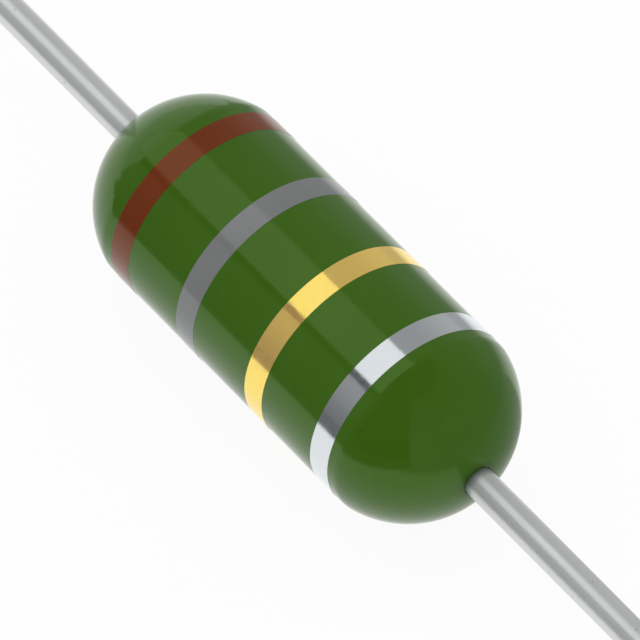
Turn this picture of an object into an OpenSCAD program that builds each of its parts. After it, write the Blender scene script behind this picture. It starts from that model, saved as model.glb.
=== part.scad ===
// Axial inductor: a wound drum core in a domed epoxy coat, with two straight leads.
// The axis is X, with the silver band towards +X. The origin is the body's centre.

/* [Epoxy body] */
// Diameter of the body's straight side
body_d = 4.0; // [3.5:0.05:4.8]
// Length of the body, from the tip of one domed end to the other
body_l = 10.0; // [8.6:0.1:12]
// How much larger the radius of the domed ends is than the body's own radius
crown_swell = 0.05; // [0.03:0.01:0.3]
// Radius that blends each domed end into the straight side
shoulder_r = 0.6; // [0.3:0.05:0.9]
// Thickness of the coat over the core's flanges
coat_side_t = 0.55; // [0.45:0.05:0.75]
// Least thickness of the coat where the wire comes over the flange's edge
coat_corner_t = 0.1; // [0.05:0.01:0.2]

/* [Colour bands] */
// Width of each band along the body
band_w = 0.5; // [0.3:0.05:0.55]
// Distance from the body's middle to the centre of each inner band
inner_band_x = 1.0; // [0.6:0.05:1.3]
// Distance from the end of the straight side to the edge of each outer band
band_margin = 0.17; // [0.05:0.01:0.6]
// Thickness of the printed ink
ink_t = 0.006; // [0.004:0.002:0.03]
// Width over which the ink thins out at each edge
ink_edge = 0.05; // [0.01:0.01:0.12]

/* [Leads] */
// Diameter of the lead wire outside the body
lead_d = 0.6; // [0.5:0.02:0.66]
// Diameter of a lead at its inner end, a little less so that it enters the cement
lead_root_d = 0.54; // [0.44:0.02:0.58]
// Length of each lead outside the body
lead_out = 25; // [10:1:38]
// Chamfer round the cut end of each lead
lead_chamfer = 0.06; // [0.02:0.01:0.12]

/* [Drum core] */
// Thickness of each flange
flange_t = 1.0; // [0.8:0.05:1.1]
// Diameter of the waist that carries the winding
waist_d = 1.5; // [1.3:0.05:1.8]
// Chamfer on the flange edges
flange_edge = 0.12; // [0.06:0.02:0.2]
// Depth of the blind hole in each end
hole_depth = 1.5; // [1.0:0.1:1.8]
// Thickness of the cement between a lead's inner end and its hole
cement_t = 0.13; // [0.1:0.01:0.16]

/* [Winding] */
// Clear space between neighbouring turns on the waist, at least
turn_space = 0.04; // [0.03:0.01:0.1]
// Diameter of the enamelled wire
wire_d = 0.25; // [0.15:0.01:0.26]
// Number of wraps of the wire's end round each lead
wraps = 2; // [1:0.5:2]
// Clear space between neighbouring wraps on a lead
wrap_space = 0.03; // [0.02:0.01:0.05]
// Angle that the wire sweeps as it crosses each side of a flange
sweep_angle = 100; // [70:5:140]

/* [Solder] */
// Thickness of the solder outside the wraps
solder_t = 0.14; // [0.1:0.01:0.18]
// Length of the cone of solder that runs out along the lead
solder_cone_l = 0.28; // [0.15:0.01:0.3]
// Thickness of the solder where that cone ends
solder_edge_t = 0.04; // [0.02:0.01:0.08]

/* [Clearances] */
// Space between bonded surfaces, such as the coat and the core
bond_gap = 0.01; // [0.005:0.005:0.02]
// Space between the wire and what it is wound on
wire_gap = 0.02; // [0.015:0.005:0.03]
// Space between the ink and the coat under it
ink_gap = 0.002; // [0.002:0.001:0.01]

/* [Hidden] */
$fn = 96;

// The body's outline: a straight side, then a shoulder and a domed crown at each end
body_r = body_d / 2;
body_half = body_l / 2;
crown_r = body_r + crown_swell;
crown_x = body_half - crown_r;
shoulder_y = body_r - shoulder_r;
shoulder_run = sqrt(pow(crown_r - shoulder_r, 2) - pow(shoulder_y, 2));
straight_half = crown_x + shoulder_run;

// The ink rings
outer_band_x = straight_half - band_margin - band_w / 2;
ink_in_r = body_r + ink_gap;
ink_out_r = ink_in_r + ink_t;

// The wire, and the space that is kept for it in what surrounds it
wire_r = wire_d / 2;
wire_room = wire_r + wire_gap;

// The core. Its end faces lie as far out as the dome allows, with the wire over its edge.
core_r = body_r - coat_side_t;
edge_wire_r = core_r + 2 * wire_room + bond_gap;
edge_wire_x = crown_x + sqrt(pow(crown_r - coat_corner_t, 2) - pow(edge_wire_r, 2));
core_half = edge_wire_x - 2 * wire_room - bond_gap;
waist_r = waist_d / 2;
waist_half = core_half - flange_t;
rim_r = core_r - flange_edge;

// The leads and the holes that hold them
lead_r = lead_d / 2;
lead_root_r = lead_root_d / 2;
hole_r = lead_root_r + cement_t;
hole_floor = core_half - hole_depth;
lead_root_x = hole_floor + cement_t;
lead_tip_x = body_half + lead_out;

// The wire's centre line on the waist, over the flange's rim, on the end face and round
// the lead
turn_r = waist_r + wire_room;
turn_x = waist_half - wire_room;
tail_r = core_r + wire_room;
tail_x = core_half + wire_room;
wrap_r = lead_r + wire_room;
wrap_end_x = tail_x + wraps * (wire_d + wrap_space);
edge_bend_r = flange_edge + wire_room;

// As many turns as there is room for on the waist
turns = floor(2 * turn_x / (wire_d + turn_space));

// The solder: a skirt round the wraps, closed by a cone that runs out on the lead
skirt_in_r = wrap_r + wire_room;
skirt_out_r = skirt_in_r + solder_t;
skirt_in_x = tail_x + wire_room;
skirt_out_x = wrap_end_x + wire_room;
cone_tip_r = lead_r + solder_edge_t;
cone_end_x = skirt_out_x + solder_cone_l;

// How finely the wire is drawn: points to a turn, to a wrap, to a bend and to a sweep
// over a flange's side, and corners round the wire
turn_points = 20;
wrap_points = 16;
bend_points = 4;
sweep_points = 10;
wire_sides = 8;

// A quarter of a turn, and a whole one
quarter = 90;
whole = 360;

// The middle of the winding, half way through its turns
mid_angle = 2 * sweep_angle + turns * whole / 2;

// How far a cutting shape runs past the surface that it cuts
past = 1;

// Turns a shape that is drawn round Z, so that it lies round X
module lay_along_x() {
    rotate([0, 90, 0])
        children();
}

// The same, at the other end of the body
module lay_other_way() {
    rotate([0, -90, 0])
        children();
}

// Turns a shape round the axis while it is still drawn round Z
module turned(angle) {
    rotate([0, 0, angle])
        children();
}

// A sector of a ring, from its radii, its reach along the axis and its angle
module sector(r_in, r_out, z_from, z_to, angle) {
    rotate_extrude(angle = angle)
        translate([r_in, z_from])
            square([r_out - r_in, z_to - z_from]);
}

// A round bar along the axis
module bar(r, z_from, z_to) {
    translate([0, 0, z_from])
        cylinder(h = z_to - z_from, r = r);
}

// A round bar that changes its radius along the axis
module cone(r_from, r_to, z_from, z_to) {
    translate([0, 0, z_from])
        cylinder(h = z_to - z_from, r1 = r_from, r2 = r_to);
}

// The lead's radius at a place inside the body, where it tapers
function lead_r_at(x) = lead_root_r
    + (lead_r - lead_root_r) * (x - lead_root_x) / (body_half - lead_root_x);

// Half of the body's outline, with the radius across and the axis upwards
module half_outline() {
    reach = 2;
    square([body_r, straight_half]);
    intersection() {
        translate([shoulder_y, straight_half])
            circle(r = shoulder_r);
        translate([0, straight_half])
            square(body_r + past);
    }
    intersection() {
        translate([0, crown_x])
            circle(r = crown_r);
        polygon([
            [0, crown_x],
            [shoulder_y * reach, crown_x + shoulder_run * reach],
            [shoulder_y * reach, body_half + past],
            [0, body_half + past]
        ]);
    }
}

// The body's outer form, with nothing inside it
module body_form() {
    rotate_extrude() {
        half_outline();
        mirror([0, 1])
            half_outline();
    }
}

// Space in the coat for one end of the wire: across the end face to the rim, over the rim
// a little wider, and down the flange's inner side
module tail_space() {
    spread = asin(wire_room / rim_r);
    side_r = tail_r + wire_room;
    face_x = core_half - flange_edge;
    well_x = waist_half + flange_edge;
    turned(-spread)
        sector(lead_r, side_r, face_x, skirt_in_x, sweep_angle + spread);
    turned(sweep_angle - spread)
        sector(waist_r, edge_wire_r, turn_x - wire_room - bond_gap, edge_wire_x, 2 * spread);
    turned(sweep_angle)
        sector(waist_r, side_r, turn_x - wire_room, well_x, sweep_angle + spread);
}

// Space in the coat for all that it surrounds at one end of the body. Each piece of it
// starts inside the one before.
module end_space() {
    bar(turn_r + wire_room, 0, waist_half + flange_edge);
    bar(core_r + bond_gap, waist_half - bond_gap, core_half + bond_gap);
    bar(skirt_in_r, waist_half, skirt_in_x);
    bar(skirt_out_r + bond_gap, skirt_in_x - bond_gap, skirt_out_x);
    cone(skirt_out_r + bond_gap, cone_tip_r + bond_gap, skirt_out_x, cone_end_x);
    bar(cone_tip_r + bond_gap, skirt_in_x, cone_end_x + bond_gap);
    bar(lead_r + bond_gap, hole_floor, body_half + past);
    tail_space();
}

// Puts a shape drawn for the +X end at the -X end, turned as the wire's other end is
module at_other_end() {
    turned(2 * mid_angle)
        rotate([180, 0, 0])
            children();
}

module epoxy_coat() {
    color("#3a5f1c")
        lay_along_x()
            difference() {
                body_form();
                end_space();
                at_other_end()
                    end_space();
            }
}

// A printed ring whose centre is at the given distance along the body. It thins out at
// both edges, as wet ink does.
module band(x) {
    half_w = band_w / 2;
    lay_along_x()
        rotate_extrude()
            polygon([
                [ink_in_r, x - half_w],
                [ink_out_r, x - half_w + ink_edge],
                [ink_out_r, x + half_w - ink_edge],
                [ink_in_r, x + half_w]
            ]);
}

module band_red() {
    color("#74301b")
        band(-outer_band_x);
}

module band_grey() {
    color("#767778")
        band(-inner_band_x);
}

module band_gold() {
    color("#d2a85c")
        band(inner_band_x);
}

module band_silver() {
    color("#a9b0b2")
        band(outer_band_x);
}

// A straight lead with a tapered root, which ends in the core's hole
module lead() {
    color("#b4b6b6")
        rotate_extrude()
            polygon([
                [0, lead_root_x],
                [lead_root_r, lead_root_x],
                [lead_r, body_half],
                [lead_r, lead_tip_x - lead_chamfer],
                [lead_r - lead_chamfer, lead_tip_x],
                [0, lead_tip_x]
            ]);
}

module lead_a() {
    lay_along_x()
        lead();
}

module lead_b() {
    lay_other_way()
        lead();
}

// One half of the drum: half of the waist, and a flange with both its edges broken
module drum_half() {
    rotate_extrude()
        polygon([
            [0, 0],
            [waist_r, 0],
            [waist_r, waist_half],
            [rim_r, waist_half],
            [core_r, waist_half + flange_edge],
            [core_r, core_half - flange_edge],
            [rim_r, core_half],
            [0, core_half]
        ]);
}

module ferrite_core() {
    color("#3a3a3d")
        lay_along_x()
            difference() {
                union() {
                    drum_half();
                    mirror([0, 0, 1])
                        drum_half();
                }
                bar(hole_r, hole_floor, core_half + past);
                bar(hole_r, -core_half - past, -hole_floor);
            }
}

// The cement cup round a lead's root, from the hole's floor to its mouth
module lead_cement() {
    color("#d8c48a")
        difference() {
            bar(hole_r - bond_gap, hole_floor + bond_gap, core_half);
            cone(
                lead_root_r + bond_gap,
                lead_r_at(core_half) + bond_gap,
                lead_root_x - bond_gap,
                core_half
            );
        }
}

module lead_cement_a() {
    lay_along_x()
        lead_cement();
}

module lead_cement_b() {
    lay_other_way()
        lead_cement();
}

// Solder over the wraps: open towards the core, where the wire comes in
module solder_joint() {
    color("#c9ccce")
        difference() {
            union() {
                bar(skirt_out_r, skirt_in_x, skirt_out_x);
                cone(skirt_out_r, cone_tip_r, skirt_out_x, cone_end_x);
            }
            bar(skirt_in_r, skirt_in_x - past, skirt_out_x);
            bar(lead_r + bond_gap, skirt_in_x, cone_end_x + past);
        }
}

module solder_joint_a() {
    lay_along_x()
        solder_joint();
}

module solder_joint_b() {
    lay_other_way()
        solder_joint();
}

// The wire's centre line, each point as [radius, angle, distance along the axis]

// Wraps round the lead, from their outer end towards the core
wrap_path = [
    for (i = [0 : wraps * wrap_points])
        let (left = wraps - i / wrap_points)
            [wrap_r, -left * whole, tail_x + left * (wire_d + wrap_space)]
];

// Across the end face: away from the lead and straight out over the rim
face_path = [
    for (i = [1 : sweep_points])
        let (a = i / sweep_points * quarter)
            [wrap_r + (rim_r - wrap_r) * (1 - cos(a)), sweep_angle * sin(a), tail_x]
];

// Round the outer edge of the rim
outer_bend_path = [
    for (i = [1 : bend_points])
        let (a = i / bend_points * quarter)
            [
                rim_r + edge_bend_r * sin(a),
                sweep_angle,
                core_half - flange_edge + edge_bend_r * cos(a)
            ]
];

// Round the inner edge of the rim
inner_bend_path = [
    for (i = [0 : bend_points])
        let (a = i / bend_points * quarter)
            [
                rim_r + edge_bend_r * cos(a),
                sweep_angle,
                waist_half + flange_edge - edge_bend_r * sin(a)
            ]
];

// Down the inner side of the flange, on to the waist
descent_path = [
    for (i = [1 : sweep_points])
        let (a = i / sweep_points * quarter)
            [
                turn_r + (rim_r - turn_r) * (1 - sin(a)),
                sweep_angle * (2 - cos(a)),
                turn_x
            ]
];

// The turns on the waist, as far as the other end's descent
waist_path = [
    for (i = [1 : turns * turn_points - 1])
        let (done = i / (turns * turn_points))
            [turn_r, 2 * sweep_angle + done * turns * whole, turn_x * (1 - 2 * done)]
];

end_path = concat(wrap_path, face_path, outer_bend_path, inner_bend_path, descent_path);

// The other end is the same path turned end for end about the winding's middle
other_end_path = [
    for (i = [len(end_path) - 1 : -1 : 0])
        let (p = end_path[i])
            [p[0], 2 * mid_angle - p[1], -p[2]]
];

wire_path = [
    for (p = concat(end_path, waist_path, other_end_path))
        [p[0] * cos(p[1]), p[0] * sin(p[1]), p[2]]
];

function unit(v) = v / norm(v);

// The wire's direction at a point of its path
function direction(path, i) = unit(
    path[min(i + 1, len(path) - 1)] - path[max(i - 1, 0)]
);

// A vector with the part of it that lies along another taken away
function square_to(v, along) = unit(v - (v * along) * along);

// One square direction for each point, carried along the path without twisting
function carried_normals(path) = [
    for (
        i = 0, n = square_to([0, 0, 1], direction(path, 0));
        i < len(path);
        i = i + 1, n = i < len(path) ? square_to(n, direction(path, i)) : n
    )
        n
];

// A round wire swept along a path
module swept_wire(path, r, sides) {
    normals = carried_normals(path);
    corners = [
        for (i = [0 : len(path) - 1])
            let (n = normals[i], b = cross(direction(path, i), n))
                for (j = [0 : sides - 1])
                    let (a = j / sides * whole)
                        path[i] + r * (cos(a) * n + sin(a) * b)
    ];
    last = (len(path) - 1) * sides;
    walls = [
        for (i = [0 : len(path) - 2])
            for (j = [0 : sides - 1])
                let (k = (j + 1) % sides, low = i * sides, high = (i + 1) * sides)
                    each [
                        [low + j, high + j, low + k],
                        [low + k, high + j, high + k]
                    ]
    ];
    start_cap = [for (j = [0 : sides - 1]) j];
    end_cap = [for (j = [sides - 1 : -1 : 0]) last + j];
    polyhedron(corners, concat(walls, [start_cap], [end_cap]));
}

module winding() {
    color("#a8511f")
        lay_along_x()
            swept_wire(wire_path, wire_r, wire_sides);
}

epoxy_coat();
band_red();
band_grey();
band_gold();
band_silver();
lead_a();
lead_b();
ferrite_core();
winding();
lead_cement_a();
lead_cement_b();
solder_joint_a();
solder_joint_b();
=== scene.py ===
"""Axial inductor: a green dip-coated body with four printed rings and two tinned leads."""

import math

import bpy
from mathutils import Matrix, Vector


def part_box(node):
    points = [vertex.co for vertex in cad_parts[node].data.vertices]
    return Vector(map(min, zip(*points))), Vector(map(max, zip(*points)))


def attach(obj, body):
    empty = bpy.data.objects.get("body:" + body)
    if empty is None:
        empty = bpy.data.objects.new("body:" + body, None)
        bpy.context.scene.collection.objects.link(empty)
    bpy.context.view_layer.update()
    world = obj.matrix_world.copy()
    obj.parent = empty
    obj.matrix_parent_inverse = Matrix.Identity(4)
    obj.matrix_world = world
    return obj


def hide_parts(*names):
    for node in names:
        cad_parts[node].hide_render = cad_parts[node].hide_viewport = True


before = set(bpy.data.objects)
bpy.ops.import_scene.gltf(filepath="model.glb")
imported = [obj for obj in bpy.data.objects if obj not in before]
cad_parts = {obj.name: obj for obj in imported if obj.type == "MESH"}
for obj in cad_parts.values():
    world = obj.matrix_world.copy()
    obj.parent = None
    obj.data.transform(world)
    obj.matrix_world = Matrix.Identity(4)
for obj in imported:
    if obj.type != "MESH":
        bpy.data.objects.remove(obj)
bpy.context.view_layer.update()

# A millimetre and a micrometre in metres
MM = 0.001
UM = 0.001 * MM

# The body's outline, its rings and its leads, in millimetres, as the CAD has them
BODY_R = 2.0
BODY_HALF = 5.0
SHOULDER_R = 0.6
CROWN_R = 2.05
CROWN_X = BODY_HALF - CROWN_R
SHOULDER_Y = BODY_R - SHOULDER_R
STRAIGHT_HALF = CROWN_X + math.sqrt((CROWN_R - SHOULDER_R) ** 2 - SHOULDER_Y**2)
BORE_R = 0.31
INK_IN_R = 2.002
INK_T = 0.006
INK_EDGE = 0.05
LEAD_R = 0.3
LEAD_ROOT_R = 0.27
LEAD_ROOT_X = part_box("lead_a")[0].x / MM
LEAD_TIP_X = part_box("lead_a")[1].x / MM
LEAD_CHAMFER = 0.06

# The width of the painted shade ring on the epoxy round a lead, and where the painted shade on the lead
# fades, past the body's end
SHADE_RING_WIDTH = 0.17
ROOT_SHADE_FADE_START = 0.02
ROOT_SHADE_FADE_END = 0.19

# How finely the round pieces are cut up
BODY_SIDES = 256
SHOULDER_STEPS = 20
CROWN_STEPS = 40
SIDE_STEPS = 8
INK_STEPS = 6
LEAD_SIDES = 96
LEAD_STEPS = 24
CREASE = math.radians(35)

# How far the CAD coat's flat facets may lie inside its round outline, in millimetres
SKIN_SLACK = 0.02
MOUTH_SLACK_R = 0.005
MOUTH_SLACK_X = 0.004

# Corners that agree to this many decimals of a millimetre fall together
WELD_DECIMALS = 4

# Meshes


def without_repeats(face):
    """A face's corners, each left out where it is the same as the one before it."""
    return [corner for i, corner in enumerate(face) if corner != face[i - 1]]


def revolved(profile, sides, closed):
    """Corners, faces and rings of (x, r) points turned round X. Where r is 0 there is one corner."""
    verts, rings = [], []
    for x, r in profile:
        if r == 0:
            rings.append([len(verts)])
            verts.append((x * MM, 0.0, 0.0))
            continue
        rings.append(list(range(len(verts), len(verts) + sides)))
        for k in range(sides):
            angle = 2 * math.pi * k / sides
            verts.append((x * MM, r * MM * math.cos(angle), r * MM * math.sin(angle)))
    faces = []
    pairs = list(zip(rings, rings[1:]))
    if closed:
        pairs.append((rings[-1], rings[0]))
    for low, high in pairs:
        for k in range(sides):
            after = (k + 1) % sides
            face = [low[k % len(low)], low[after % len(low)]]
            face += [high[after % len(high)], high[k % len(high)]]
            face = without_repeats(face)
            if len(face) > 2:
                faces.append(face)
    return verts, faces, rings


def welded(verts, faces):
    """The same mesh with corners that fall together made one, and without the faces that close up."""
    kept, place, index = [], {}, []
    for v in verts:
        key = tuple(round(c / MM, WELD_DECIMALS) for c in v)
        if key not in place:
            place[key] = len(kept)
            kept.append(tuple(v))
        index.append(place[key])
    left = []
    for face in faces:
        face = without_repeats([index[i] for i in face])
        if len(face) > 2:
            left.append(face)
    return kept, left


def mesh_object(name, verts, faces):
    mesh = bpy.data.meshes.new(name)
    mesh.from_pydata(verts, [], faces)
    mesh.polygons.foreach_set("use_smooth", [True] * len(mesh.polygons))
    mesh.set_sharp_from_angle(angle=CREASE)
    mesh.update()
    obj = bpy.data.objects.new(name, mesh)
    bpy.context.scene.collection.objects.link(obj)
    return obj


def arc(cx, cr, r, a_from, a_to, steps):
    """Points of an arc in the plane of the outline, with angles measured from the radial direction."""
    angles = [a_from + (a_to - a_from) * i / steps for i in range(steps + 1)]
    return [(cx + r * math.sin(a), cr + r * math.cos(a)) for a in angles]


def outline():
    """The body's outer outline, from the bore's mouth at -X to the one at +X."""
    knuckle = math.atan2(STRAIGHT_HALF - CROWN_X, SHOULDER_Y)
    mouth = math.pi / 2 - math.asin(BORE_R / CROWN_R)
    end = arc(STRAIGHT_HALF, SHOULDER_Y, SHOULDER_R, 0, knuckle, SHOULDER_STEPS)
    end += arc(CROWN_X, 0.0, CROWN_R, knuckle, mouth, CROWN_STEPS)[1:]
    side = [(STRAIGHT_HALF * i / SIDE_STEPS, BODY_R) for i in range(1 - SIDE_STEPS, SIDE_STEPS)]
    return [(-x, r) for x, r in reversed(end)] + side + end


def on_outside(v):
    """Whether a corner of the CAD coat lies on its outer skin."""
    x, r = abs(v[0]) / MM, math.hypot(v[1], v[2]) / MM
    if r < BORE_R + MOUTH_SLACK_R:
        return x > CROWN_X + math.sqrt(CROWN_R**2 - r * r) - MOUTH_SLACK_X
    if x <= STRAIGHT_HALF:
        return r > BODY_R - SKIN_SLACK
    if r > SHOULDER_Y * (x - CROWN_X) / (STRAIGHT_HALF - CROWN_X):
        return math.hypot(x - STRAIGHT_HALF, r - SHOULDER_Y) > SHOULDER_R - SKIN_SLACK
    return math.hypot(x - CROWN_X, r) > CROWN_R - SKIN_SLACK


def turn(v):
    """A corner's angle round X, from 0 to a full turn."""
    return math.atan2(v[2], v[1]) % (2 * math.pi)


def cavity(node):
    """The inner skin of the CAD coat and its two open rims, at -X and +X, in order of angle."""
    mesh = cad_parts[node].data
    verts, faces = welded([v.co for v in mesh.vertices], [p.vertices for p in mesh.polygons])
    out = [on_outside(v) for v in verts]
    faces = [f for f in faces if not all(out[i] for i in f)]
    uses = {}
    for f in faces:
        for i, corner in enumerate(f):
            pair = frozenset((f[i - 1], corner))
            uses[pair] = uses.get(pair, 0) + 1
    open_corners = {i for pair, count in uses.items() if count == 1 for i in pair}
    rims = []
    for side in (-1, 1):
        ring = [i for i in open_corners if verts[i][0] * side > 0]
        rims.append(sorted(ring, key=lambda i: turn(verts[i])))
    return verts, faces, rims


def zipped(verts, ring_a, ring_b, flip):
    """Faces that join two rings of different counts, both in order of angle."""

    def next_turn(ring, i):
        past = 2 * math.pi if i + 1 >= len(ring) else 0
        return turn(verts[ring[(i + 1) % len(ring)]]) + past

    faces = []
    count_a, count_b = len(ring_a), len(ring_b)
    i = j = 0
    while i < count_a or j < count_b:
        a, b = ring_a[i % count_a], ring_b[j % count_b]
        a_is_next = next_turn(ring_a, i) <= next_turn(ring_b, j)
        if i < count_a and (a_is_next or j >= count_b):
            face = [a, ring_a[(i + 1) % count_a], b]
            i += 1
        else:
            face = [a, ring_b[(j + 1) % count_b], b]
            j += 1
        faces.append(face[::-1] if flip else face)
    return faces


def coat():
    """A finely rounded outer skin on the CAD coat's own inner skin."""
    verts, faces, rings = revolved(outline(), BODY_SIDES, False)
    inner_verts, inner_faces, rims = cavity("epoxy_coat")
    first = len(verts)
    verts += inner_verts
    faces += [[first + i for i in f] for f in inner_faces]
    for ring, rim, flip in ((rings[0], rims[0], True), (rings[-1], rims[1], False)):
        faces += zipped(verts, ring, [first + i for i in rim], flip)
    return mesh_object("coat", *welded(verts, faces))


def ring_of_ink(name, node):
    """An ink ring over the CAD ring's reach. It thins out at its edges in a rounded way."""
    start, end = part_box(node)[0].x / MM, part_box(node)[1].x / MM
    slope = []
    for i in range(INK_STEPS + 1):
        share = i / INK_STEPS
        slope.append((INK_EDGE * share, INK_IN_R + INK_T * math.sin(math.pi / 2 * share)))
    profile = [(start + x, r) for x, r in slope]
    profile += [(start + (end - start) * i / INK_STEPS, INK_IN_R + INK_T) for i in range(1, INK_STEPS)]
    profile += [(end - x, r) for x, r in reversed(slope)]
    profile.append(((start + end) / 2, INK_IN_R))
    verts, faces, _ = revolved(profile, BODY_SIDES, True)
    obj = mesh_object(name, verts, faces)
    radial = [Vector((0, v[1], v[2])).normalized() for v in verts]
    obj.data.normals_split_custom_set([radial[loop.vertex_index] for loop in obj.data.loops])
    return obj


def lead(name, side):
    """A lead on the side of +X or -X, tapered where it is buried and with a small chamfer at its tip."""
    straight = LEAD_TIP_X - LEAD_CHAMFER - BODY_HALF
    profile = [(LEAD_ROOT_X, 0.0), (LEAD_ROOT_X, LEAD_ROOT_R)]
    profile += [(BODY_HALF + straight * i / LEAD_STEPS, LEAD_R) for i in range(LEAD_STEPS + 1)]
    profile += [(LEAD_TIP_X, LEAD_R - LEAD_CHAMFER), (LEAD_TIP_X, 0.0)]
    verts, faces, _ = revolved([(side * x, r) for x, r in profile], LEAD_SIDES, False)
    if side < 0:
        faces = [f[::-1] for f in faces]
    return mesh_object(name, verts, faces)


# Node trees


class Nodes:
    """A node tree, with short calls for the nodes that are used here."""

    def __init__(self, tree, coordinates):
        self.tree = tree
        self.place = self.add("ShaderNodeTexCoord").outputs[coordinates]

    def add(self, kind, **settings):
        node = self.tree.nodes.new(kind)
        for key, value in settings.items():
            setattr(node, key, value)
        return node

    def put(self, value, socket):
        """Sets a socket to a number or a colour, or links an output to it."""
        if isinstance(value, (int, float)):
            socket.default_value = value
        elif isinstance(value, tuple):
            socket.default_value = (*value, 1.0)
        else:
            self.tree.links.new(value, socket)

    def ranged(self, value, low, high, out_low, out_high, kind="LINEAR"):
        node = self.add("ShaderNodeMapRange", interpolation_type=kind)
        names = ("Value", "From Min", "From Max", "To Min", "To Max")
        for name, number in zip(names, (value, low, high, out_low, out_high)):
            self.put(number, node.inputs[name])
        return node.outputs["Result"]

    def smooth(self, value, low, high, out_low, out_high):
        return self.ranged(value, low, high, out_low, out_high, "SMOOTHSTEP")

    def edge(self, value, place, soft):
        """0 below a place and 1 above it, with a soft step between."""
        return self.smooth(value, place - soft, place + soft, 0.0, 1.0)

    def inside(self, value, low, high, soft_low, soft_high):
        """1 between two places and 0 outside, with a soft step at each."""
        falling = self.smooth(value, high - soft_high, high + soft_high, 1.0, 0.0)
        return self.times(self.edge(value, low, soft_low), falling)

    def math(self, kind, first, *others):
        """Joins values two at a time with one kind of sum."""
        for other in others:
            node = self.add("ShaderNodeMath", operation=kind)
            self.put(first, node.inputs[0])
            self.put(other, node.inputs[1])
            first = node.outputs[0]
        return first

    def plus(self, *values):
        return self.math("ADD", *values)

    def times(self, *values):
        return self.math("MULTIPLY", *values)

    def highest(self, *values):
        return self.math("MAXIMUM", *values)

    def lowest(self, *values):
        return self.math("MINIMUM", *values)

    def towards(self, x, y, z):
        """How far the coordinates reach in a direction."""
        node = self.add("ShaderNodeVectorMath", operation="DOT_PRODUCT")
        self.put(self.place, node.inputs[0])
        node.inputs[1].default_value = (x, y, z)
        return node.outputs["Value"]

    def either(self, fac, first, second):
        """The first shader where fac is 0, the second where it is 1."""
        node = self.add("ShaderNodeMixShader")
        self.put(fac, node.inputs[0])
        self.put(first, node.inputs[1])
        self.put(second, node.inputs[2])
        return node.outputs[0]

    def by_ray(self, soft, seen, mirrored):
        """One shader for soft light, one for what the camera sees and one for reflections."""
        rays = self.add("ShaderNodeLightPath").outputs
        shader = self.either(rays["Is Camera Ray"], soft, seen)
        return self.either(rays["Is Glossy Ray"], shader, mirrored)


class Material(Nodes):
    """A material with its Principled shader."""

    def __init__(self, name):
        self.material = bpy.data.materials.new(name)
        self.material.use_nodes = True
        super().__init__(self.material.node_tree, "Object")
        self.shader = self.tree.nodes["Principled BSDF"]

    def stretched(self, scale):
        node = self.add("ShaderNodeMapping")
        node.inputs["Scale"].default_value = scale
        self.put(self.place, node.inputs["Vector"])
        return node.outputs["Vector"]

    def noise(self, scale, detail, rough=0.5, vector=None, warp=0.0):
        node = self.add("ShaderNodeTexNoise")
        settings = {"Scale": scale, "Detail": detail, "Roughness": rough, "Distortion": warp}
        for key, value in settings.items():
            self.put(value, node.inputs[key])
        self.put(vector or self.place, node.inputs["Vector"])
        return node.outputs["Fac"]

    def spots(self, scale, size, soft):
        """Small round marks: 1 at their centres, 0 elsewhere."""
        node = self.add("ShaderNodeTexVoronoi")
        self.put(scale, node.inputs["Scale"])
        self.put(self.place, node.inputs["Vector"])
        return self.ranged(node.outputs["Distance"], size, size + soft, 1.0, 0.0)

    def mixed(self, fac, first, second):
        """A mix of two colours, which are the node's sockets 6 and 7."""
        node = self.add("ShaderNodeMix", data_type="RGBA")
        self.put(fac, node.inputs[0])
        self.put(first, node.inputs[6])
        self.put(second, node.inputs[7])
        return node.outputs[2]

    def spread(self, noise, low, high):
        """Noise, most of which lies between 0.3 and 0.7, brought to the range from low to high."""
        return self.ranged(noise, 0.3, 0.7, low, high)

    def clouded(self, noise, first, second):
        """A colour that goes from the first to the second with the noise."""
        return self.mixed(self.spread(noise, 0.0, 1.0), first, second)

    def bumped(self, height, distance, under=None):
        node = self.add("ShaderNodeBump")
        self.put(distance, node.inputs["Distance"])
        self.put(height, node.inputs["Height"])
        if under is not None:
            self.put(under, node.inputs["Normal"])
        return node.outputs["Normal"]

    def made(self, **sockets):
        """The material, with the values given by socket name, in lower case with _ for spaces."""
        names = {socket.name.lower().replace(" ", "_"): socket for socket in self.shader.inputs}
        for name, value in sockets.items():
            self.put(value, names[name])
        return self.material


def linear(r, g, b):
    """Linear colour from an 8-bit display colour."""
    parts = [c / 255 for c in (r, g, b)]
    return tuple(c / 12.92 if c <= 0.04045 else ((c + 0.055) / 1.055) ** 2.4 for c in parts)


# Materials


def epoxy():
    n = Material("epoxy_green")
    broad = n.noise(260, 2, warp=0.3)
    fine = n.noise(2600, 4, 0.6)
    color = n.clouded(broad, linear(53, 90, 15), linear(57, 95, 19))
    color = n.mixed(n.ranged(fine, 0.55, 0.8, 0.0, 0.35), color, linear(61, 100, 24))
    color = n.mixed(n.spots(1900, 0.03, 0.05), color, linear(51, 86, 17))
    # Painted shade: the epoxy is darkened in a ring round each lead, where shade falls at the lead's
    # exit
    from_axis = n.add("ShaderNodeVectorMath", operation="LENGTH")
    n.put(n.stretched((0, 1, 1)), from_axis.inputs[0])
    shade_ring_end = (BORE_R + SHADE_RING_WIDTH) * MM
    painted_shade_ring = n.ranged(from_axis.outputs["Value"], BORE_R * MM, shade_ring_end, 0.6, 0.0)
    color = n.mixed(painted_shade_ring, color, linear(34, 58, 16))
    waves = n.bumped(n.noise(420, 2), 10 * UM)
    return n.made(
        base_color=color,
        roughness=n.spread(fine, 0.08, 0.13),
        ior=1.48,
        specular_tint=(0.66, 1.0, 0.44),
        normal=n.bumped(n.noise(9000, 3, 0.6), 0.4 * UM, waves),
    )


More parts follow.
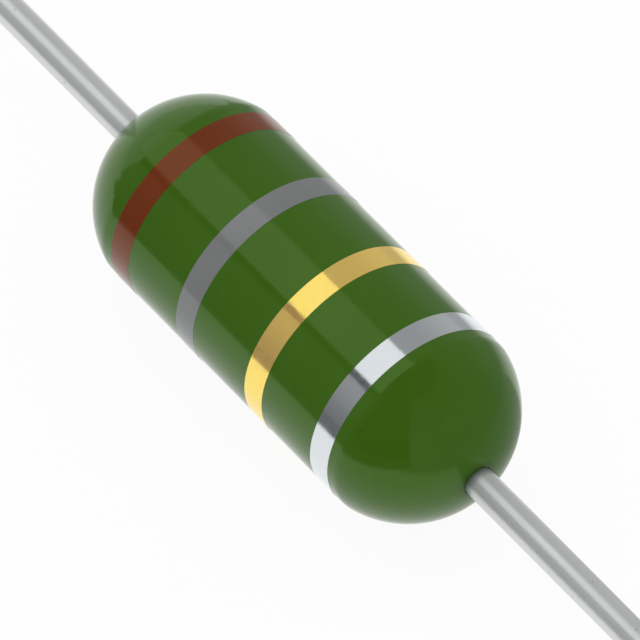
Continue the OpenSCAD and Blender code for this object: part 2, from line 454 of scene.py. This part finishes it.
def ink(name, dark, light, ior, tint):
    n = Material(name)
    broad = n.noise(700, 2)
    fine = n.noise(5200, 4, 0.6)
    color = n.clouded(broad, linear(*dark), linear(*light))
    color = n.mixed(n.spots(6500, 0.08, 0.08), color, linear(*dark))
    return n.made(
        base_color=color,
        roughness=n.spread(fine, 0.1, 0.17),
        ior=ior,
        specular_tint=tint,
        normal=n.bumped(fine, 0.6 * UM, n.bumped(broad, 4 * UM)),
    )


def metal_ink(name, binder, flake, metal_low, metal_high):
    """Fine metal flakes in a coloured binder."""
    n = Material(name)
    broad = n.noise(800, 2)
    fine = n.noise(7500, 4, 0.65)
    flakes = n.ranged(n.noise(250000, 1), 0.44, 0.56, 0.0, 1.0)
    color = n.mixed(flakes, linear(*binder), linear(*flake))
    color = n.mixed(n.spread(broad, 0.0, 0.05), color, linear(200, 200, 190))
    return n.made(
        base_color=color,
        metallic=n.ranged(flakes, 0.0, 1.0, metal_low, metal_high),
        roughness=n.spread(fine, 0.07, 0.14),
        normal=n.bumped(fine, 0.5 * UM, n.bumped(broad, 3 * UM)),
    )


def tinned():
    n = Material("tinned_copper")
    broad = n.noise(420, 2)
    drawn = n.noise(1.0, 4, 0.6, vector=n.stretched((350, 5200, 5200)))
    color = n.clouded(broad, linear(211, 213, 212), linear(220, 222, 222))
    color = n.mixed(n.spots(2600, 0.04, 0.05), color, linear(192, 191, 186))
    # Painted shade and painted reflection of the body: each lead is darkened, blue-grey, a little way
    # out from the body's end
    x = n.add("ShaderNodeMath", operation="ABSOLUTE")
    n.put(n.towards(1, 0, 0), x.inputs[0])
    uneven = n.plus(x.outputs[0], n.times(broad, 0.04 * MM))
    fade_start = (BODY_HALF + ROOT_SHADE_FADE_START) * MM
    fade_end = (BODY_HALF + ROOT_SHADE_FADE_END) * MM
    painted_root_shade = n.ranged(uneven, fade_start, fade_end, 0.7, 0.0)
    color = n.mixed(painted_root_shade, color, linear(88, 102, 98))
    return n.made(
        base_color=color,
        metallic=0.64,
        roughness=n.spread(drawn, 0.28, 0.38),
        normal=n.bumped(drawn, 1.5 * UM, n.bumped(broad, 4 * UM)),
    )


def ferrite():
    n = Material("ferrite")
    grain = n.noise(9000, 5, 0.7)
    color = n.clouded(grain, linear(42, 42, 45), linear(66, 66, 69))
    color = n.mixed(n.spots(5200, 0.12, 0.08), color, linear(26, 26, 28))
    return n.made(
        base_color=color,
        roughness=n.spread(grain, 0.5, 0.68),
        normal=n.bumped(grain, 4 * UM),
    )


def enamelled():
    n = Material("enamelled_copper")
    fine = n.noise(6000, 3, 0.6)
    return n.made(
        base_color=n.clouded(n.noise(900, 3), linear(150, 66, 26), linear(190, 96, 44)),
        metallic=0.9,
        roughness=n.spread(fine, 0.2, 0.34),
        coat_weight=0.7,
        coat_roughness=0.12,
        normal=n.bumped(fine, 1.2 * UM),
    )


def cement():
    n = Material("cement")
    broad = n.noise(1500, 3)
    color = n.clouded(broad, linear(205, 184, 124), linear(226, 208, 154))
    color = n.mixed(n.spots(4200, 0.1, 0.08), color, linear(182, 158, 98))
    return n.made(
        base_color=color,
        roughness=n.spread(broad, 0.22, 0.36),
        normal=n.bumped(broad, 5 * UM),
    )


def solder():
    n = Material("solder")
    broad = n.noise(1100, 3)
    fine = n.noise(7000, 4, 0.65)
    return n.made(
        base_color=n.clouded(broad, linear(186, 188, 190), linear(216, 218, 220)),
        metallic=1.0,
        roughness=n.spread(fine, 0.28, 0.44),
        normal=n.bumped(fine, 2 * UM, n.bumped(broad, 8 * UM)),
    )


# Pieces


def paint(obj, material):
    obj.data.materials.clear()
    obj.data.materials.append(material)


def dress(obj, node, material):
    paint(obj, material)
    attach(obj, "root")
    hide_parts(node)


dress(coat(), "epoxy_coat", epoxy())

red = ink("ink_red", (100, 40, 13), (106, 44, 16), 1.54, (1.0, 0.66, 0.4))
grey = ink("ink_grey", (112, 114, 114), (118, 120, 121), 1.54, (1.0, 1.0, 1.0))
gold = metal_ink("ink_gold", (254, 188, 140), (255, 253, 70), 0.47, 0.97)
silver = metal_ink("ink_silver", (212, 218, 221), (222, 228, 231), 0.96, 1.0)
for material, color in ((red, "red"), (grey, "grey"), (gold, "gold"), (silver, "silver")):
    dress(ring_of_ink(f"ring_{color}", f"band_{color}"), f"band_{color}", material)

tin = tinned()
dress(lead("wire_a", 1), "lead_a", tin)
dress(lead("wire_b", -1), "lead_b", tin)

cement_look, solder_look = cement(), solder()
HIDDEN = {
    "ferrite_core": ferrite(),
    "winding": enamelled(),
    "lead_cement_a": cement_look,
    "lead_cement_b": cement_look,
    "solder_joint_a": solder_look,
    "solder_joint_b": solder_look,
}
for node, material in HIDDEN.items():
    paint(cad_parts[node], material)

# Floor, light and camera

# The side of the body that faces the camera, and the directions across it and along it
FACING = Vector((0.0, -0.432, 0.902))
ACROSS = Vector((0.0, 0.902, 0.432))
ALONG = Vector((1.0, 0.0, 0.0))

# The strip light: how far off it is in metres, its reach across and along as shares of that,
# and its radiance. FRAME_LINE is where the dark line beside it begins, across.
STRIP_AWAY = 0.5
STRIP_ACROSS = (-0.148, 0.78)
STRIP_ALONG = (-3.0, -0.28)
STRIP_RADIANCE = 0.82
FRAME_LINE = (-0.31, -0.28)

# The room's soft light, and what the camera sees of it. Reflections show a pattern, with an even
# BEHIND_STRIP where the strip light is, and all of it dimmed by ROOM_GREY.
SOFT_LIGHT = 0.85
SEEN_LIGHT = 1.0
ROOM_GREY = 0.8
BEHIND_STRIP = 0.23

# Level directions to the corner between near and far walls, and to the white side
CORNER = (0.588, 0.809, 0)
WHITE_SIDE = (-0.423, 0.906, 0)

# The floor lies just under the ink rings. The camera sees it mostly as plain white.
FLOOR_GAP = 0.008
FLOOR_Z = -(INK_IN_R + INK_T + FLOOR_GAP) * MM
FLOOR_HALF = 1.5
FLOOR_OWN_WHITE = 0.94
CARD_EDGE_Y = -11.4 * MM


def floor():
    """A white floor. In reflections it is white beside the body and at -X, and grey further off."""
    h, z = FLOOR_HALF, FLOOR_Z
    obj = mesh_object("floor", [(-h, -h, z), (h, -h, z), (h, h, z), (-h, h, z)], [(0, 1, 2, 3)])
    n = Material("floor_white")
    output = n.tree.nodes["Material Output"].inputs["Surface"]
    n.tree.nodes.remove(n.shader)

    matt = n.add("ShaderNodeBsdfDiffuse")
    n.put(n.clouded(n.noise(300, 3), (0.88, 0.88, 0.88), (0.9, 0.9, 0.9)), matt.inputs["Color"])
    plain_white = n.add("ShaderNodeEmission")
    seen = n.either(FLOOR_OWN_WHITE, matt.outputs[0], plain_white.outputs[0])

    # Ramps over the floor for reflections: from a place to a place, and the light at each
    x, y = n.towards(1, 0, 0), n.towards(0, 1, 0)
    soft = 1.2 * MM
    near_card = n.ranged(y, CARD_EDGE_Y - soft, CARD_EDGE_Y + soft, 0.16, 1.03)
    past_card = n.ranged(n.plus(y, n.times(x, 0.754)), 1.7 * MM, 3.7 * MM, 0.0, 0.45)
    near_white = n.ranged(n.plus(y, n.times(x, -0.577)), 1 * MM, 3 * MM, 0.0, 1.0)
    far_side = n.ranged(y, 4 * MM, 14 * MM, 1.3, 0.42)
    far_white = n.ranged(n.plus(y, n.times(x, 1.19)), -6 * MM, -4 * MM, 1.0, 0.0)
    beside = n.ranged(x, 3.2 * MM, 4.2 * MM, 1.3, 0.0)
    past_body = n.ranged(y, -2 * MM, 3 * MM, 1.1, 0.52)
    fading = n.ranged(x, 8.5 * MM, 14.5 * MM, 1.3, 0.45)
    mirrored = n.add("ShaderNodeEmission")
    strength = n.lowest(
        n.highest(near_card, past_card, near_white),
        n.highest(far_side, far_white),
        n.highest(past_body, beside),
        fading,
    )
    n.put(strength, mirrored.inputs["Strength"])
    n.put(n.by_ray(matt.outputs[0], seen, mirrored.outputs[0]), output)
    paint(obj, n.material)


def studio():
    """The room: even in soft light, white to the camera, grey with a white side in reflections."""
    world = bpy.data.worlds.new("studio")
    bpy.context.scene.world = world
    world.use_nodes = True
    world.node_tree.nodes.clear()
    n = Nodes(world.node_tree, "Generated")
    height, x, corner = n.towards(0, 0, 1), n.towards(1, 0, 0), n.towards(*CORNER)
    facing = n.highest(n.towards(*FACING), 0.01)
    across = n.math("DIVIDE", n.towards(*ACROSS), facing)
    along = n.math("DIVIDE", n.towards(*ALONG), facing)

    # The walls' light goes with the height and with x, and is least behind the camera and overhead
    near_wall = n.times(n.smooth(height, 0.0, 0.62, 0.26, 0.43), n.smooth(x, -0.46, -0.1, 1.0, 0.4))
    far_wall = n.times(n.smooth(height, 0.1, 0.8, 0.55, 0.41), n.smooth(x, 0.0, 0.5, 1.1, 0.95))
    is_far = n.highest(
        n.smooth(n.towards(0, 1, 0), -0.35, 0.15, 0.0, 1.0),
        n.edge(corner, 0.0, 0.04),
    )
    is_near = n.math("SUBTRACT", 1.0, is_far)
    walls = n.plus(n.times(far_wall, is_far), n.times(near_wall, is_near))
    behind_camera = n.highest(
        n.smooth(corner, -0.07, 0.01, 0.12, 1.0),
        n.smooth(x, -0.1, 0.06, 1.0, 0.12),
    )
    ceiling = n.smooth(height, 0.87, 0.91, 1.0, 0.3)
    # A dark line beside the strip light, as its frame makes
    frame_line = n.highest(
        n.smooth(across, *FRAME_LINE, 1.0, 0.3),
        n.smooth(across, STRIP_ACROSS[0], STRIP_ACROSS[0] + 0.018, 0.3, 1.0),
        n.edge(along, STRIP_ALONG[1], 0.02),
    )
    dull = n.times(walls, behind_camera, ceiling, frame_line)
    white_side = n.times(
        n.edge(n.towards(*WHITE_SIDE), 0.0, 0.04),
        n.smooth(x, -0.85, -0.49, 1.0, 0.0),
        n.smooth(height, 0.84, 0.92, 1.0, 0.0),
    )
    room = n.highest(dull, white_side)
    # The strip light's own light comes on top of an even grey
    behind_strip = n.times(
        n.inside(across, *STRIP_ACROSS, 0.002, 0.006),
        n.inside(along, *STRIP_ALONG, 0.03, 0.005),
    )
    open_room = n.times(room, n.math("SUBTRACT", 1.0, behind_strip))

    shaders = []
    reflected = n.plus(open_room, n.times(behind_strip, BEHIND_STRIP))
    for grey, strength in ((1.0, SOFT_LIGHT), (1.0, SEEN_LIGHT), (ROOM_GREY, reflected)):
        node = n.add("ShaderNodeBackground")
        n.put((grey, grey, grey), node.inputs["Color"])
        n.put(strength, node.inputs["Strength"])
        shaders.append(node.outputs[0])
    n.put(n.by_ray(*shaders), n.add("ShaderNodeOutputWorld").inputs["Surface"])


def strip_light():
    light = bpy.data.lights.new("strip", "AREA")
    light.shape = "RECTANGLE"
    light.size = (STRIP_ALONG[1] - STRIP_ALONG[0]) * STRIP_AWAY
    light.size_y = (STRIP_ACROSS[1] - STRIP_ACROSS[0]) * STRIP_AWAY
    # An area light's radiance is its energy over pi and over its area
    light.energy = STRIP_RADIANCE * math.pi * light.size * light.size_y
    obj = bpy.data.objects.new("strip", light)
    bpy.context.scene.collection.objects.link(obj)
    centre = FACING + ACROSS * sum(STRIP_ACROSS) / 2 + ALONG * sum(STRIP_ALONG) / 2
    obj.location = centre * STRIP_AWAY
    obj.rotation_euler = FACING.to_track_quat("Z", "Y").to_euler()


floor()
studio()
strip_light()

# The camera, at the photograph's angle
AZIMUTH, ELEVATION = math.radians(51.85), math.radians(52.2)
DISTANCE = 0.3
LENS = 937.4
SENSOR = 36
# The picture's centre lies a little off the body's own
TARGET_X = 0.377 * MM
TARGET_SHIFT = 0.014 * MM
right = Vector((math.cos(AZIMUTH), math.sin(AZIMUTH), 0))
level = Vector((-math.sin(AZIMUTH), math.cos(AZIMUTH), 0))
back = -level * math.cos(ELEVATION) + Vector((0, 0, math.sin(ELEVATION)))
up = back.cross(right)
target = Vector((TARGET_X, 0, 0)) + (right + up) * TARGET_SHIFT

camera = bpy.data.objects.new("camera", bpy.data.cameras.new("camera"))
bpy.context.scene.collection.objects.link(camera)
camera.data.sensor_width = SENSOR
camera.data.lens = LENS
camera.data.clip_start = 0.01
camera.data.clip_end = 10
camera.location = target + back * DISTANCE
camera.rotation_euler = back.to_track_quat("Z", "Y").to_euler()
bpy.context.scene.camera = camera
bpy.context.scene.view_settings.view_transform = "Standard"


bpy.context.view_layer.update()
